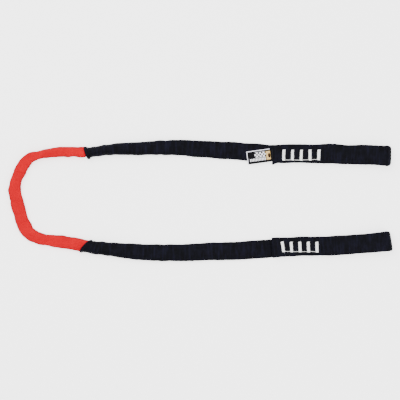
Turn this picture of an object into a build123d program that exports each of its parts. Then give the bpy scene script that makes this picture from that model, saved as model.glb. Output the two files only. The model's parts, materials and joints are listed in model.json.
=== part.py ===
"""Eye-and-eye round sling, lying flat in a U.

A load core of parallel yarn bundles runs in a red woven cover round the bend. Each leg goes on
in a black tubular webbing sleeve that starts round and ends flat. The flat webbing then goes
round a tip and back on itself as an eye, which five bar tacks hold. Millimetres, +Z up, the
origin on the floor under the middle of the U.
"""

import os
from math import asin, atan2, cos, degrees, hypot, pi, radians, sin, sqrt, tan

from build123d import *

os.makedirs("parts", exist_ok=True)

# ---- driving dimensions ----

# red cover and the load core in it
cover_diameter = 14.0
cover_wall = 1.0
cover_to_sleeve = 0.5        # gap all round where the cover goes into a sleeve
yarn_diameter = 2.7
yarn_count = 5
yarn_ring_radius = 2.8       # the bundles stand in a ring in the round cover, in a row when flat
yarn_edge_room = 2.35        # between the row of bundles in the flat webbing and its edges

# black webbing
web_wall = 1.0
web_width = 27.0
yarn_play = 0.1              # above and below a bundle in the flat webbing
ply_gap = 0.9                # between the two plies of an eye, as thick as the folded label
edge_ease = 0.05             # keeps a rounded edge just short of a full half circle

# hem at the mouth of a sleeve
hem_length = 5.0
hem_lip = 0.2                # how far the hem stands proud of the sleeve
hem_round = 0.5

# eye, measured along the webbing from the place where it flexes
tip_radius = 3.5             # inside the tip
eye_reach = 224.54           # to the outside of the tip
tail_start = 47.7            # end of the upper ply
sewn_end = 123.0             # where the upper ply leaves the lower one
ply_ease = 60.0              # radius of the upper ply's gentle bend there

# bar tacks
tack_count = 5
tack_length = 18.0
tack_width = 4.6
tack_proud = 0.6
tack_sunk = 0.4
tack_thread_share = 0.47     # of the gap between two bundles that a column of thread fills
tack_offset = -1.5           # the bars stand a little to one side of the webbing's middle
tack_play = 0.05
tack_round = 0.25
jump_thread_diameter = 0.9
jump_thread_inset = 0.9      # from the bars' ends

# label, one strip folded in two
label_length = 36.0
label_width = 19.0
label_leaf = 0.35
label_fold_gap = 0.1
label_turn = 7.0             # degrees, out of line with the webbing
label_edge = 45.2            # along the eye, where the label leaves the seam
label_offset = -2.6          # across the eye
label_lift = 0.3             # over the webbing
label_margin_end = 70.0      # sewn edge, under the first bar tack
label_margin_width = 16.0
label_margin_start = 47.2
label_swing_play = 0.6

# places where the sling flexes
swing_trim = 4.4             # the bend's cover starts this far from the middle of a swing
swing_play = 0.5
flex_play = 0.4
sleeve_end_swell = 0.7       # a sleeve's end is this much thicker than the eye's webbing
fold_share = 0.45            # share of the shorter run that a bend of the route takes

# ---- sizes that follow ----

cover_radius = cover_diameter / 2
mouth_inner = cover_diameter + 2 * cover_to_sleeve
mouth_outer = mouth_inner + 2 * web_wall
hem_diameter = mouth_outer + 2 * hem_lip
cover_height = hem_diameter / 2
ply = yarn_diameter + 2 * yarn_play + 2 * web_wall
web_inner_width = web_width - 2 * web_wall
yarn_row_width = web_inner_width - 2 * yarn_edge_room
yarn_pitch = (yarn_row_width - yarn_diameter) / (yarn_count - 1)
tack_thread = tack_thread_share * (yarn_pitch - yarn_diameter)
tip_line_radius = tip_radius + ply / 2
tip_centre_height = ply + tip_radius
tip_centre = eye_reach - tip_line_radius - ply / 2
upper_ply_middle = ply + ply_gap + ply / 2
tack_top = 2 * ply + ply_gap
sleeve_end_thickness = ply + sleeve_end_swell
flex_height = sleeve_end_thickness / 2
web_start = flex_height + flex_play
label_thickness = 2 * label_leaf + label_fold_gap

# ---- route of the sling ----

# middle line of the red cover, from inside the upper sleeve to inside the lower one; the legs
# swing at the points numbered upper_swing and lower_swing
cover_route = [
    (-152.6, 73.4), (-173.4, 71.3), (-191.3, 72.6), (-209.2, 72.2), (-226.3, 70.5),
    (-242.0, 67.7), (-256.9, 62.4), (-267.9, 43.1), (-276.2, 25.1), (-277.1, 13.8),
    (-274.3, 1.4), (-269.4, -15.7), (-264.8, -33.0), (-254.9, -50.4), (-236.0, -58.8),
    (-217.4, -60.7), (-198.0, -63.0), (-178.7, -66.7), (-161.0, -68.9),
]
upper_swing = 6
lower_swing = 13

# middle line of each sleeve, from its mouth to the place where the eye flexes, with the
# sleeve's width and thickness there, and how far the yarn bundles have spread into a row
sleeve_mouth = {"upper": (-168.2, 71.8), "lower": (-173.9, -67.3)}
sleeve_stations = {
    "upper": [
        ((-125.8, 76.1), mouth_outer + 0.8, mouth_outer - 1.2, 0.2),
        ((-81.1, 77.9), 19.2, 14.2, 0.45),
        ((-36.4, 78.6), 21.4, 11.4, 0.7),
        ((11.3, 76.1), 24.0, 7.8, 0.9),
        ((59.0, 72.2), web_width - 1.4, sleeve_end_thickness, 1.0),
    ],
    "lower": [
        ((-127.2, -73.2), mouth_outer + 2.0, mouth_outer - 1.6, 0.3),
        ((-81.1, -76.8), 22.8, 9.8, 0.6),
        ((-33.4, -77.3), 24.0, 8.0, 0.8),
        ((14.3, -76.2), 25.4, 6.8, 0.95),
        ((59.0, -74.1), web_width - 1.2, sleeve_end_thickness, 1.0),
    ],
}
eye_heading = {"upper": -1.5, "lower": 3.5}
first_tack = {"upper": 65.3, "lower": 63.7}
tack_pitch = {"upper": 13.0, "lower": 12.6}
sides = ("upper", "lower")


def heading(start, end):
    """Direction from one point to the next, in degrees from +X."""
    return degrees(atan2(end[1] - start[1], end[0] - start[0]))


def distance(start, end):
    return hypot(end[0] - start[0], end[1] - start[1])


def fold_radii(points):
    """A radius for each inner point: as large as its two runs allow."""
    radii = []
    for before, here, after in zip(points, points[1:], points[2:]):
        turn = abs(heading(here, after) - heading(before, here))
        turn = min(turn, 360 - turn)
        shorter = min(distance(before, here), distance(here, after))
        radii.append(fold_share * shorter / tan(radians(turn / 2)))
    return radii


def towards(start, end, length):
    """The point this far from start on the way to end."""
    share = length / distance(start, end)
    return (start[0] + share * (end[0] - start[0]), start[1] + share * (end[1] - start[1]))


def across(point, degrees_from_x, height):
    """Plane across the sling: its x is to the left of travel and its y is up."""
    angle = radians(degrees_from_x)
    return Plane(
        origin=(point[0], point[1], height),
        x_dir=(-sin(angle), cos(angle), 0),
        z_dir=(cos(angle), sin(angle), 0),
    )


def at_height(points, height):
    return [(x, y, height) for x, y in points]


def yarn_ring():
    """Middles of the yarn bundles in the round cover, from right to left."""
    step = 360 / yarn_count
    ring = []
    for number in range(yarn_count):
        angle = radians(90 + step * number)
        ring.append((yarn_ring_radius * cos(angle), yarn_ring_radius * sin(angle)))
    return sorted(ring)


def yarn_row():
    """Middles of the yarn bundles in the flat webbing, from right to left."""
    return [yarn_pitch * (number - (yarn_count - 1) / 2) for number in range(yarn_count)]


def rounded(width, thickness):
    """A flattened tube's outline."""
    RectangleRounded(width, thickness, min(width, thickness) / 2 - edge_ease)


def swing_point(side):
    return cover_route[upper_swing if side == "upper" else lower_swing]


def leg_route(side):
    """The cover's route on one leg, from the swing outwards to inside the sleeve."""
    if side == "upper":
        return cover_route[upper_swing::-1]
    return cover_route[lower_swing:]


def section_sweep(points, radius, mode=Mode.ADD):
    """A round bar along the route at the cover's height."""
    with BuildLine() as line:
        FilletPolyline(*at_height(points, cover_height), radius=fold_radii(points))
    with BuildSketch(across(points[0], heading(points[0], points[1]), cover_height)) as section:
        Circle(radius)
    sweep(sections=section.sketch, path=line.wire(), mode=mode)


def yarn_sweep(points):
    """The ring of yarn bundles along the route."""
    with BuildLine() as line:
        FilletPolyline(*at_height(points, cover_height), radius=fold_radii(points))
    with BuildSketch(across(points[0], heading(points[0], points[1]), cover_height)) as section:
        with Locations(*yarn_ring()):
            Circle(yarn_diameter / 2)
    sweep(sections=section.sketch, path=line.wire())


# ---- bend: the red cover between the two swings, and the core in it ----

bend_route = cover_route[upper_swing:lower_swing + 1]
upper_end = towards(bend_route[0], bend_route[1], swing_trim)
lower_end = towards(bend_route[-1], bend_route[-2], swing_trim)
bend_cover_route = [upper_end] + bend_route[1:-1] + [lower_end]
yarn_trim = cover_radius + 2 * swing_play
upper_yarn_end = towards(bend_route[0], bend_route[1], yarn_trim)
lower_yarn_end = towards(bend_route[-1], bend_route[-2], yarn_trim)
bend_yarn_route = [upper_yarn_end] + bend_route[1:-1] + [lower_yarn_end]


# the trimmed runs are shorter, but their bends keep the whole route's radii
bend_radii = fold_radii(bend_route)

with BuildPart() as bend_cover:
    with BuildLine() as bend_line:
        FilletPolyline(*at_height(bend_cover_route, cover_height), radius=bend_radii)
    with BuildSketch(across(upper_end, heading(bend_route[0], bend_route[1]), cover_height)):
        Circle(cover_radius)
        Circle(cover_radius - cover_wall, mode=Mode.SUBTRACT)
    sweep(path=bend_line.wire())
    with Locations(*at_height([bend_route[0], bend_route[-1]], cover_height)):
        Sphere(cover_radius + swing_play, mode=Mode.SUBTRACT)
bend_cover.part.label = "bend_cover"
export_step(bend_cover.part, "parts/bend_cover.step")

with BuildPart() as bend_yarns:
    with BuildLine() as bend_yarn_line:
        FilletPolyline(*at_height(bend_yarn_route, cover_height), radius=bend_radii)
    with BuildSketch(across(upper_yarn_end, heading(bend_route[0], bend_route[1]), cover_height)):
        with Locations(*yarn_ring()):
            Circle(yarn_diameter / 2)
    sweep(path=bend_yarn_line.wire())
bend_yarns.part.label = "bend_yarns"
export_step(bend_yarns.part, "parts/bend_yarns.step")

print("route radii, in cover diameters:")
print([round(radius / cover_diameter, 1) for radius in fold_radii(cover_route)])
tube_section = pi * (cover_radius**2 - (cover_radius - cover_wall) ** 2)
print("bend cover volume over section times length:",
      round(bend_cover.part.volume / (tube_section * bend_line.wire().length), 3))

# ---- legs ----

for side in sides:
    route = leg_route(side)
    inside_end = route[-1]
    outward = heading(route[-2], route[-1])
    stations = sleeve_stations[side]
    flex_point = stations[-1][0]
    hem_plane = across(sleeve_mouth[side], outward, cover_height)
    sleeve_start = towards(sleeve_mouth[side], stations[0][0], hem_length)

    station_headings = []
    line_points = [sleeve_start] + [station[0] for station in stations]
    for before, here, after in zip(line_points, line_points[1:], line_points[2:]):
        station_headings.append((heading(before, here) + heading(here, after)) / 2)
    station_headings.append(eye_heading[side])

    # red cover on this leg, closed by a ball that the bend's end can turn round
    with BuildPart() as leg_cover:
        section_sweep(route, cover_radius)
        with Locations(at_height([route[0]], cover_height)[0]):
            Sphere(cover_radius)
        section_sweep(route, cover_radius - cover_wall, mode=Mode.SUBTRACT)
        with Locations(at_height([route[0]], cover_height)[0]):
            Sphere(cover_radius - cover_wall, mode=Mode.SUBTRACT)
    leg_cover.part.label = f"{side}_cover"
    export_step(leg_cover.part, f"parts/{side}_cover.step")

    # rolled hem
    with BuildPart() as hem:
        with BuildSketch(hem_plane):
            Circle(hem_diameter / 2)
            Circle(mouth_inner / 2, mode=Mode.SUBTRACT)
        extrude(amount=hem_length)
        outer_edges = hem.edges().filter_by(GeomType.CIRCLE).sort_by(SortBy.RADIUS)[-2:]
        fillet(outer_edges, hem_round)
    hem.part.label = f"{side}_sleeve_hem"
    export_step(hem.part, f"parts/{side}_sleeve_hem.step")

    # tubular webbing, round at the hem and flat at the eye
    with BuildPart() as sleeve:
        with BuildSketch(across(sleeve_start, outward, cover_height)):
            rounded(mouth_outer, mouth_outer)
        for (point, width, thickness, _), turn in zip(stations, station_headings):
            with BuildSketch(across(point, turn, thickness / 2)):
                rounded(width, thickness)
        loft(ruled=True)
        end_plane = Plane(
            origin=(flex_point[0], flex_point[1], flex_height),
            x_dir=(cos(radians(eye_heading[side])), sin(radians(eye_heading[side])), 0),
            z_dir=(-sin(radians(eye_heading[side])), cos(radians(eye_heading[side])), 0),
        )
        with BuildSketch(end_plane):
            Circle(flex_height)
        extrude(amount=stations[-1][1] / 2 - flex_height, both=True)
        with BuildSketch(across(sleeve_start, outward, cover_height)):
            rounded(mouth_inner, mouth_inner)
        for (point, width, thickness, _), turn in zip(stations, station_headings):
            with BuildSketch(across(point, turn, thickness / 2)):
                rounded(width - 2 * web_wall, thickness - 2 * web_wall)
        loft(ruled=True, mode=Mode.SUBTRACT)
    sleeve.part.label = f"{side}_sleeve"
    export_step(sleeve.part, f"parts/{side}_sleeve.step")

    # load core: bundles in a ring through the cover, spreading into a row along the sleeve
    with BuildPart() as yarns:
        yarn_sweep(route)
        for ring_place, row_place in zip(yarn_ring(), yarn_row()):
            with BuildSketch(across(inside_end, outward, cover_height)):
                with Locations(ring_place):
                    Circle(yarn_diameter / 2)
            for (point, _, thickness, spread), turn in zip(stations, station_headings):
                sideways = (1 - spread) * ring_place[0] + spread * row_place
                upwards = (1 - spread) * ring_place[1]
                with BuildSketch(across(point, turn, thickness / 2)):
                    with Locations((sideways, upwards)):
                        Circle(yarn_diameter / 2)
            loft(ruled=True)
    yarns.part.label = f"{side}_yarns"
    export_step(yarns.part, f"parts/{side}_yarns.step")

# ---- eyes ----


def eye_side_plane(side):
    """Side view of an eye: x along the webbing from the flex, y up."""
    angle = radians(eye_heading[side])
    point = sleeve_stations[side][-1][0]
    return Plane(
        origin=(point[0], point[1], 0),
        x_dir=(cos(angle), sin(angle), 0),
        z_dir=(sin(angle), -cos(angle), 0),
    )


def eye_top_plane(side):
    """Plan view of an eye: x along the webbing from the flex, y to the left, z up."""
    angle = radians(eye_heading[side])
    point = sleeve_stations[side][-1][0]
    return Plane(
        origin=(point[0], point[1], 0),
        x_dir=(cos(angle), sin(angle), 0),
        z_dir=(0, 0, 1),
    )


def eye_line(start, tail):
    """Middle line of the webbing in side view.

    It runs flat along the floor, round the tip, down a straight slope that is tangent to the
    tip, and through one gentle bend to the flat tail.
    """
    to_centre = hypot(tip_centre - sewn_end, tip_centre_height - upper_ply_middle)
    rise = atan2(tip_centre_height - upper_ply_middle, tip_centre - sewn_end)
    slope = rise + asin(tip_line_radius / to_centre)
    slope_length = sqrt(to_centre**2 - tip_line_radius**2) - ply_ease * tan(slope / 2)
    lower = Line((start, ply / 2), (tip_centre, ply / 2))
    tip = JernArc(lower @ 1, (1, 0), tip_line_radius, 180 + degrees(slope))
    down = PolarLine(tip @ 1, slope_length, angle=180 + degrees(slope))
    ease = JernArc(down @ 1, down % 1, ply_ease, -degrees(slope))
    Line(ease @ 1, (tail, upper_ply_middle))


def tack_places(side):
    return [first_tack[side] + tack_pitch[side] * number for number in range(tack_count)]


def thread_places():
    """The columns of thread go through the gaps between the yarn bundles."""
    row = yarn_row()
    return [(left + right) / 2 for left, right in zip(row, row[1:])]


for side in sides:
    top_plane = eye_top_plane(side)
    web_plane = across(sleeve_stations[side][-1][0], eye_heading[side], 0)

    with BuildPart() as eye_web:
        with BuildLine(eye_side_plane(side)) as web_line:
            eye_line(web_start, tail_start)
        with BuildSketch(web_plane.offset(web_start)):
            with Locations((0, ply / 2)):
                rounded(web_width, ply)
        sweep(path=web_line.wire())
        with BuildSketch(web_plane.offset(web_start)):
            with Locations((0, ply / 2)):
                rounded(web_inner_width, ply - 2 * web_wall)
        sweep(path=web_line.wire(), mode=Mode.SUBTRACT)
        for place in tack_places(side):
            with BuildSketch(top_plane):
                with Locations((place, tack_offset)):
                    Rectangle(tack_width + 2 * tack_play, tack_length + 2 * tack_play)
            extrude(amount=tack_sunk, mode=Mode.SUBTRACT)
            with BuildSketch(top_plane):
                with Locations(*[(place, sideways) for sideways in thread_places()]):
                    Rectangle(tack_thread + 2 * tack_play, tack_thread + 2 * tack_play)
            extrude(amount=tack_top, mode=Mode.SUBTRACT)
    eye_web.part.label = f"{side}_eye_web"
    export_step(eye_web.part, f"parts/{side}_eye_web.step")

    with BuildPart() as eye_yarns:
        with BuildLine(eye_side_plane(side)) as yarn_line:
            eye_line(web_start + web_wall, tail_start + web_wall)
        with BuildSketch(web_plane.offset(web_start + web_wall)):
            with Locations(*[(sideways, ply / 2) for sideways in yarn_row()]):
                Circle(yarn_diameter / 2)
        sweep(path=yarn_line.wire())
    eye_yarns.part.label = f"{side}_eye_yarns"
    export_step(eye_yarns.part, f"parts/{side}_eye_yarns.step")

    for number, place in enumerate(tack_places(side), start=1):
        with BuildPart() as tack:
            with BuildSketch(top_plane.offset(tack_top)):
                with Locations((place, tack_offset)):
                    Rectangle(tack_width, tack_length)
            extrude(amount=tack_proud)
            fillet(tack.faces().sort_by(Axis.Z)[-1].edges(), tack_round)
            with BuildSketch(top_plane):
                with Locations((place, tack_offset)):
                    Rectangle(tack_width, tack_length)
            extrude(amount=tack_sunk)
            with BuildSketch(top_plane):
                with Locations(*[(place, sideways) for sideways in thread_places()]):
                    Rectangle(tack_thread, tack_thread)
            extrude(amount=tack_top)
        tack.part.label = f"{side}_bar_tack_{number}"
        export_step(tack.part, f"parts/{side}_bar_tack_{number}.step")

    # the sewing thread jumps from bar to bar near their ends
    thread_side = tack_offset - tack_length / 2 + jump_thread_inset
    with BuildPart() as jump_thread:
        for place in tack_places(side)[:-1]:
            with BuildSketch(web_plane.offset(place + tack_width / 2)):
                with Locations((thread_side, tack_top + jump_thread_diameter / 2)):
                    Circle(jump_thread_diameter / 2)
            extrude(amount=tack_pitch[side] - tack_width)
    jump_thread.part.label = f"{side}_jump_thread"
    export_step(jump_thread.part, f"parts/{side}_jump_thread.step")

# ---- label, on the upper eye ----

label_angle = radians(eye_heading["upper"] + label_turn)
eye_angle = radians(eye_heading["upper"])
flex_x, flex_y = sleeve_stations["upper"][-1][0]
label_pivot = (
    flex_x + label_edge * cos(eye_angle) - label_offset * sin(eye_angle),
    flex_y + label_edge * sin(eye_angle) + label_offset * cos(eye_angle),
    ply + label_lift + label_thickness / 2,
)
label_plane = Plane(
    origin=label_pivot,
    x_dir=(-cos(label_angle), -sin(label_angle), 0),
    z_dir=(sin(label_angle), -cos(label_angle), 0),
)
print("label pivot:", [round(value, 3) for value in label_pivot])

with BuildPart() as label:
    with BuildSketch(label_plane):
        with Locations((label_swing_play, 0)):
            Rectangle(label_length - label_swing_play, label_thickness,
                      align=(Align.MIN, Align.CENTER))
            Rectangle(label_length - label_swing_play - label_leaf, label_fold_gap,
                      align=(Align.MIN, Align.CENTER), mode=Mode.SUBTRACT)
    extrude(amount=label_width / 2, both=True)
label.part.label = "label"
export_step(label.part, "parts/label.step")

margin_length = label_margin_end - label_margin_start
margin_bottom = ply + (ply_gap - label_thickness) / 2
with BuildPart() as label_margin:
    with BuildSketch(eye_top_plane("upper").offset(margin_bottom)):
        with Locations((label_margin_start, label_offset)):
            Rectangle(margin_length, label_margin_width, align=(Align.MIN, Align.CENTER))
        with Locations(*[(first_tack["upper"], sideways) for sideways in thread_places()]):
            Rectangle(tack_thread + 2 * tack_play, tack_thread + 2 * tack_play,
                      mode=Mode.SUBTRACT)
    extrude(amount=label_leaf)
    with BuildSketch(eye_top_plane("upper").offset(margin_bottom + label_leaf + label_fold_gap)):
        with Locations((label_margin_start, label_offset)):
            Rectangle(margin_length, label_margin_width, align=(Align.MIN, Align.CENTER))
        with Locations(*[(first_tack["upper"], sideways) for sideways in thread_places()]):
            Rectangle(tack_thread + 2 * tack_play, tack_thread + 2 * tack_play,
                      mode=Mode.SUBTRACT)
    extrude(amount=label_leaf)
label_margin.part.label = "label_sewn_edge"
export_step(label_margin.part, "parts/label_sewn_edge.step")
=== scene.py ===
"""Eye-and-eye round sling, lying in a U on a pale floor.

A red woven cover over a yarn core goes round the bend. A black tubular webbing sleeve takes
each leg on to a flat eye, which bar tacks of white thread hold. Metres throughout.
"""

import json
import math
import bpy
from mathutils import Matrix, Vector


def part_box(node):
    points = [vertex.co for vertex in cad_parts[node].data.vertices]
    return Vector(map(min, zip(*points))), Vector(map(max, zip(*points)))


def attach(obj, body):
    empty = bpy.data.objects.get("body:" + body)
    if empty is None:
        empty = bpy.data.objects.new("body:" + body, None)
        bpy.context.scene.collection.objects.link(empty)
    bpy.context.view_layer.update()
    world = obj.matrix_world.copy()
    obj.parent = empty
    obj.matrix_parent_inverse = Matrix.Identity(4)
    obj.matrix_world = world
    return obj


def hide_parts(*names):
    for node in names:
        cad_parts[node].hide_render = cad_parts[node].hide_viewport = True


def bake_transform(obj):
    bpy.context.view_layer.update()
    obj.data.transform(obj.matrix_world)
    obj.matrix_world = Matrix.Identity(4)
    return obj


bl_info = {
    "name": "Eye-and-Eye Round Sling",
    "version": (1, 0, 0),
    "blender": (4, 5, 0),
    "location": "View3D > Sidebar > Sling",
    "description": "Builds the cloth, thread and label of an eye-and-eye round sling",
    "category": "Add Mesh",
}

import bpy
import numpy as np
from mathutils import Vector

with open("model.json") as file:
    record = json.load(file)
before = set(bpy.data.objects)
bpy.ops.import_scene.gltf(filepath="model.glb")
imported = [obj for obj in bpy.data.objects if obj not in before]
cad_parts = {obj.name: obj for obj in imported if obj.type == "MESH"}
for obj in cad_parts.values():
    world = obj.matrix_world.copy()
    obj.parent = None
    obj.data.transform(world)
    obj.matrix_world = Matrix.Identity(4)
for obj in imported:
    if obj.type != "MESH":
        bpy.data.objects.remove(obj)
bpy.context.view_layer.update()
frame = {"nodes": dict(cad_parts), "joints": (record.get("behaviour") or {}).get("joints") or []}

MM = 0.001
SIDES = ("upper", "lower")
JOINTS = {joint["name"]: joint for joint in frame["joints"]}

# middle line of the red cover, from inside the upper sleeve to inside the lower one
COVER_HEIGHT = 0.0087
COVER_ROUTE = [
    (-0.1526, 0.0734), (-0.1734, 0.0713), (-0.1913, 0.0726), (-0.2092, 0.0722),
    (-0.2263, 0.0705), (-0.2417, 0.0673), (-0.2569, 0.0624), (-0.2686, 0.0431),
    (-0.2757, 0.0251), (-0.2760, 0.0138), (-0.2738, 0.0014), (-0.2692, -0.0157),
    (-0.2644, -0.0330), (-0.2545, -0.0504), (-0.2360, -0.0579), (-0.2174, -0.0602),
    (-0.1980, -0.0625), (-0.1787, -0.0661), (-0.1610, -0.0687),
]
# how wide the partly collapsed cover lies at each of those points, in millimetres
COVER_WIDTHS = [11.6, 16, 14.6, 15.4, 13.2, 12.6, 16.6, 18, 17.2, 18.6,
                20, 19.8, 20.2, 19.8, 16.6, 18.4, 19, 18.8, 17]
SWINGS = {"upper": 6, "lower": 13}      # the route points where the legs swing
MEETING = 10                            # the route point where the two halves meet

# each sleeve and the lower ply of its eye: x, y, width and thickness, in millimetres
SLEEVE_STATIONS = {
    "upper": [
        (-170, 70.4, 18.2, 16.2), (-163.5, 71.4, 16.6, 15.6), (-155, 73.1, 15.4, 15.8),
        (-143.6, 74.5, 15.8, 15.6), (-125.8, 76, 17.6, 15.2), (-90, 77.2, 19.9, 14),
        (-54.2, 78.5, 22, 12), (-36.4, 78.7, 23.2, 10.8), (-12, 77.4, 24.6, 9.2),
        (17.3, 75.5, 25.5, 7.8), (53, 73.6, 26.5, 6.4), (70.9, 72.3, 26.2, 5.8),
        (92, 71.2, 25.6, 5.2), (103.7, 70.9, 24.2, 4.7), (109, 70.6, 24.6, 4.6),
        (125, 70.3, 26.2, 4.7),
    ],
    "lower": [
        (-173.9, -67.3, 19.8, 16.4), (-160, -69.3, 19.4, 15.8), (-134.7, -72.4, 20.6, 14.6),
        (-98.9, -75.8, 23.6, 11.6), (-63.2, -77.7, 24.8, 9.4), (-27.4, -77.6, 25.3, 8.4),
        (8.3, -76.2, 26.4, 7), (44.1, -75.1, 26.9, 6.2), (79.9, -73.4, 27.4, 5.6),
        (97.7, -71.9, 27.4, 5), (104.5, -71.2, 27, 4.7), (125, -70.1, 26.8, 4.7),
    ],
}
# how far the rest of the lower ply strays sideways from the eye's straight line, and its
# widths, at five even places from there to the tip, in millimetres
LOWER_PLY = {
    "upper": ((0, 0, 0, 0, 0), (27.2, 27.8, 28, 28.2, 28.8)),
    "lower": ((0, -0.6, -1.2, -0.8, 0), (27.2, 27.8, 28, 28.2, 28.8)),
}
# upper ply of each eye: distance from the flex, sideways offset and width, in millimetres
PLY_STATIONS = {
    "upper": [
        (47.5, -2.9, 28.6), (49.3, -3.5, 30), (52, -2.5, 28.4), (66, -1, 28.2),
        (92, -0.2, 27.8), (117, 0.3, 28.4), (142, 0.8, 29.8), (163, -0.1, 28.6),
        (183, 0.4, 30), (200, 0.1, 29.4), (216, -0.2, 30.2),
    ],
    "lower": [
        (47.5, 0.9, 30.2), (51, 1.1, 30.2), (66, 1, 28.9), (92, 0.2, 28.9),
        (117, -0.7, 28.6), (142, -1.9, 28.6), (163, -2, 28), (175, -1.5, 28.3),
        (195, -0.4, 29.2), (216, 0.1, 29.6),
    ],
}
# the eye, in millimetres
TIP_CENTRE = 216.14          # along the eye from the flex
TIP_RADIUS = 3.5             # inside the tip
SEWN_END = 123.0             # where the upper ply lifts off the lower one
PLY, PLY_GAP = 4.9, 0.5
WEB_WALL = 1.0 * MM
# how far the stitches of the five bar tacks stand from their places along and across the eye
TACK_SHIFTS = {
    "upper": (-0.6, (-1.6, -1.2, -1.2, -0.5, 0.0)),
    "lower": (-0.1, (2.9, 1.9, 1.2, 0.3, -0.6)),
}
# the lower eye's tip is not quite square: how far it stands forward, in millimetres, and how
# much more or less for each step across; it grows over the last stretch of the eye
TIP_SLANT = {"upper": (0.0, 0.0), "lower": (0.9, -0.10)}
SLANT_START, SLANT_REACH = 195, 25


# ---- numbers and shapes ----

def smooth(knots, values, at):
    """A curve through the values: Hermite cubics whose slopes are the neighbours' chords."""
    knots, values = np.asarray(knots, float), np.asarray(values, float)
    slopes = np.gradient(values, knots)
    left = np.clip(np.searchsorted(knots, at) - 1, 0, len(knots) - 2)
    span = knots[left + 1] - knots[left]
    t = np.clip((at - knots[left]) / span, 0, 1)
    return (
        (2 * t**3 - 3 * t**2 + 1) * values[left]
        + (t**3 - 2 * t**2 + t) * span * slopes[left]
        + (3 * t**2 - 2 * t**3) * values[left + 1]
        + (t**3 - t**2) * span * slopes[left + 1]
    )


def lengths_along(points):
    """Distance along a line of points from its first point to each of them."""
    steps = np.linalg.norm(np.diff(points, axis=0), axis=1)
    return np.concatenate([[0], np.cumsum(steps)])


def directions(points):
    """Unit tangents of a line of points."""
    tangents = np.gradient(points, axis=0)
    return tangents / np.linalg.norm(tangents, axis=1)[:, None]


def left_of(tangents):
    """Level unit vectors to the left of travel."""
    left = np.stack([-tangents[:, 1], tangents[:, 0], np.zeros(len(tangents))], 1)
    return left / np.linalg.norm(left, axis=1)[:, None]


def hump(values, middle, reach):
    """A smooth bump: one at the middle, falling off as a bell over the reach."""
    return np.exp(-(((values - middle) / reach) ** 2))


def ripple(along, around, count, longest, shortest, turns, seed):
    """Cloth ripples: a sum of sine waves, each with its own wavelength along the tube, a whole
    number of turns round it and its own phase, so that it closes without a seam."""
    draw = np.random.default_rng(seed)
    total = np.zeros(np.broadcast(along, around).shape)
    for _ in range(count):
        wavelength = draw.uniform(shortest, longest)
        winding = draw.integers(-turns, turns + 1)
        phase = draw.uniform(0, math.tau)
        total = total + np.sin(math.tau * along / wavelength + winding * around + phase)
    return total / math.sqrt(count)


def placed(name, data):
    """A new object in the scene's collection."""
    item = bpy.data.objects.new(name, data)
    bpy.context.scene.collection.objects.link(item)
    return item


def spline_line(points):
    """Points along the smooth line that a NURBS spline makes of the given control points."""
    curve = bpy.data.curves.new("route", "CURVE")
    curve.dimensions = "3D"
    curve.resolution_u = 24
    spline = curve.splines.new("NURBS")
    spline.points.add(len(points) - 1)
    for point, place in zip(spline.points, points):
        point.co = (*place, 1)
    spline.order_u = 3
    spline.use_endpoint_u = True
    holder = placed("route", curve)
    mesh = bpy.data.meshes.new_from_object(holder)
    line = np.zeros(len(mesh.vertices) * 3)
    mesh.vertices.foreach_get("co", line)
    bpy.data.objects.remove(holder)
    bpy.data.curves.remove(curve)
    bpy.data.meshes.remove(mesh)
    return line.reshape(-1, 3)


def superellipse(angle, half_width, half_height, power):
    """Outline of a flattened tube: a power of 2 is an ellipse, and more is boxier."""
    return [half * np.sign(part) * np.abs(part) ** (2 / power)
            for half, part in ((half_width, np.cos(angle)), (half_height, np.sin(angle)))]


def woven_mesh(name, points, faces, uv):
    """A smooth mesh whose UV map, "weave", holds metres along and round the cloth."""
    mesh = bpy.data.meshes.new(name)
    mesh.from_pydata(points.reshape(-1, 3).tolist(), [], faces)
    mesh.uv_layers.new(name="weave").data.foreach_set("uv", uv.ravel())
    mesh.polygons.foreach_set("use_smooth", np.ones(len(mesh.polygons), bool))
    mesh.update()
    return mesh


def quad_corners(rows, columns):
    """Row and column numbers of the four corners of every quad of a grid."""
    row, column = np.meshgrid(np.arange(rows), np.arange(columns), indexing="ij")
    return row[..., None] + [0, 0, 1, 1], column[..., None] + [0, 1, 1, 0]


def tube_mesh(name, rings, along, closed=False):
    """A tube from an array of rings of points. The UV map has the distance along the tube as u
    and the distance round each ring as v, in metres. Fans of triangles close the ends, with
    sharp edges so that they don't bend the shading; a closed tube has no ends."""
    count, around = rings.shape[:2]
    rows, places = quad_corners(count if closed else count - 1, around)
    quads = (rows % count * around + places % around).reshape(-1, 4).tolist()
    chords = np.linalg.norm(np.roll(rings, -1, axis=1) - rings, axis=2)
    rounds = np.concatenate([np.zeros((count, 1)), np.cumsum(chords, axis=1)], axis=1)
    uv = np.stack([along[rows], rounds[rows % count, places]], -1).reshape(-1, 2)
    if closed:
        return woven_mesh(name, rings, quads, uv)

    turn = np.arange(around)
    after = (turn + 1) % around
    body, end_ring = count * around, (count - 1) * around
    low = np.stack([0 * turn + body, after, turn], 1)
    high = np.stack([0 * turn + body + 1, end_ring + turn, end_ring + after], 1)
    points = np.concatenate([rings.reshape(-1, 3), rings[[0, -1]].mean(1)])
    uv = np.concatenate([uv, np.zeros((6 * around, 2))])
    mesh = woven_mesh(name, points, quads + low.tolist() + high.tolist(), uv)
    edges = np.zeros(len(mesh.edges) * 2, int)
    mesh.edges.foreach_get("vertices", edges)
    edges = edges.reshape(-1, 2)
    rims = (edges < around).all(1) | ((edges >= end_ring) & (edges < body)).all(1)
    mesh.edges.foreach_set("use_edge_sharp", rims)
    return mesh


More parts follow.
